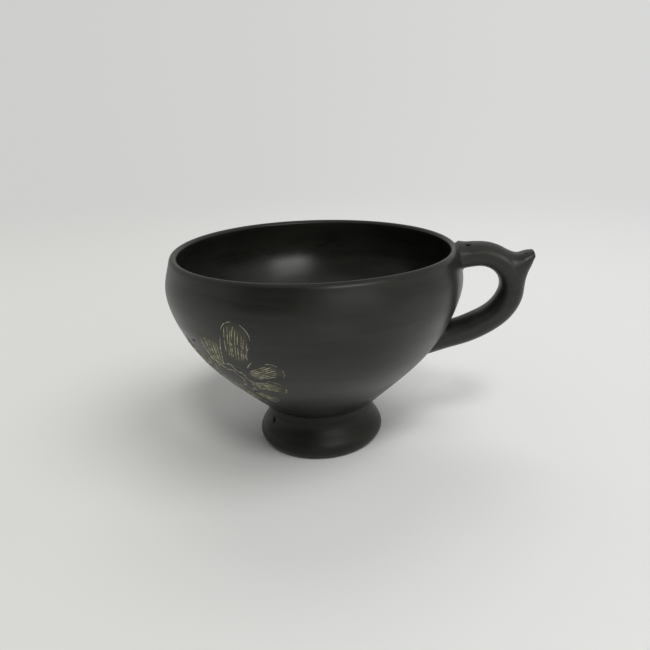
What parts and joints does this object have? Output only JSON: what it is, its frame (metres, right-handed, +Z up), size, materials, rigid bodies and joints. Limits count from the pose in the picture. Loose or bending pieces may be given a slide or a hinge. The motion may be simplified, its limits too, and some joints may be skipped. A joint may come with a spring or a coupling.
{
  "type": "cup",
  "caption": "Footed pottery drinking cup: round-bottomed bowl on a low hollow foot, with one ring handle that carries a dished thumb spur.",
  "frame": {"origin": "centre of the foot's standing ring, on the plane the cup stands on", "axes": "+Z up along the bowl's axis, +X towards the handle, +Y across the handle"},
  "size_m": [0.147, 0.1188, 0.0832],
  "materials": {
    "burnished_black_clay": "burnished semi-gloss"
  },
  "bodies": {
    "root": {"bowl": "burnished_black_clay", "foot": "burnished_black_clay", "foot_coil": "burnished_black_clay", "handle_loop": "burnished_black_clay", "upper_handle_pad": "burnished_black_clay", "lower_handle_pad": "burnished_black_clay", "thumb_spur": "burnished_black_clay"}
  },
  "joints": []
}
